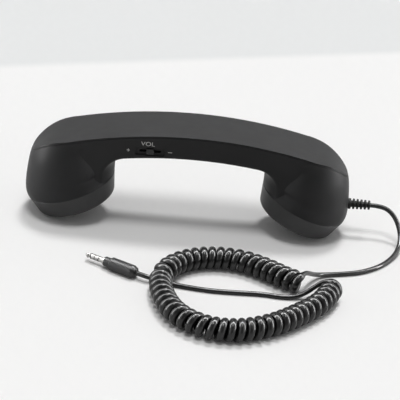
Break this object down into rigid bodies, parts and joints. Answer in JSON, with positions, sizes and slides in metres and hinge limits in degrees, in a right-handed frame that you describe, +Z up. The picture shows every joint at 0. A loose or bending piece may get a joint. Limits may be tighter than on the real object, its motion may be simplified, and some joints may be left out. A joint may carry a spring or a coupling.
{
  "type": "telephone handset",
  "caption": "Retro telephone handset with a ribbed strain relief, a curly cord laid in a loop and a headset plug, lying on its two screw caps.",
  "frame": {"origin": "under the middle of the handset, on the surface that its two caps lie on", "axes": "+X along the handle from the earpiece to the cord end, +Y away from the side with the volume control, +Z up"},
  "size_m": [0.2438, 0.187, 0.0664],
  "materials": {
    "soft_touch_black": "soft-touch matte black",
    "cap_black": "satin black",
    "cloth_black": "fine woven dust cloth",
    "foam_grey": "soft closed foam",
    "driver_steel": "pressed steel",
    "capsule_metal": "drawn can",
    "cone_film": "thin translucent film",
    "inner_black": "plain moulding",
    "screw_steel": "zinc plated",
    "board_green": "green laminate",
    "weight_steel": "plain steel bar",
    "wire_black": "insulated wire",
    "cord_gloss_black": "glossy black sheath",
    "plug_black": "satin black moulding",
    "contact_metal": "bright nickel plating"
  },
  "bodies": {
    "handset": {"back_cover": "soft_touch_black", "front_housing": "soft_touch_black", "ear_cap": "cap_black", "mouth_cap": "cap_black", "ear_cap_cloth": "cloth_black", "mouth_cap_cloth": "cloth_black", "ear_gasket": "foam_grey", "mic_boot": "foam_grey", "ear_driver_basket": "driver_steel", "ear_driver_magnet": "driver_steel", "mic_capsule": "capsule_metal", "ear_driver_cone": "cone_film", "mic_holder": "inner_black", "volume_pot_body": "inner_black", "answer_switch_body": "inner_black", "mic_holder_screws": "screw_steel", "cover_screws": "screw_steel", "board_screws": "screw_steel", "control_board": "board_green", "answer_board": "board_green", "handle_weight": "weight_steel", "ear_wires": "wire_black", "mouth_wires": "wire_black", "cord_tail": "cord_gloss_black", "cord_handset_lead": "cord_gloss_black", "cord_coil": "cord_gloss_black", "cord_plug_lead": "cord_gloss_black", "strain_relief": "cord_gloss_black", "plug_body": "plug_black", "plug_insulators": "plug_black", "plug_tip": "contact_metal", "plug_ring_front": "contact_metal", "plug_ring_back": "contact_metal", "plug_sleeve": "contact_metal"},
    "volume_slider": {"volume_knob": "cap_black"},
    "answer_key": {"answer_button": "cap_black"}
  },
  "joints": [
    {"name": "volume_slide", "type": "slide", "parent": "handset", "child": "volume_slider", "axis": [1, 0, 0], "range_m": [-0.0042, 0.0042]},
    {"name": "answer_press", "type": "slide", "parent": "handset", "child": "answer_key", "axis": [0, 0, 1], "range_m": [0, 0.0008], "stiffness_N_per_m": 800, "springref_m": -0.0005}
  ]
}
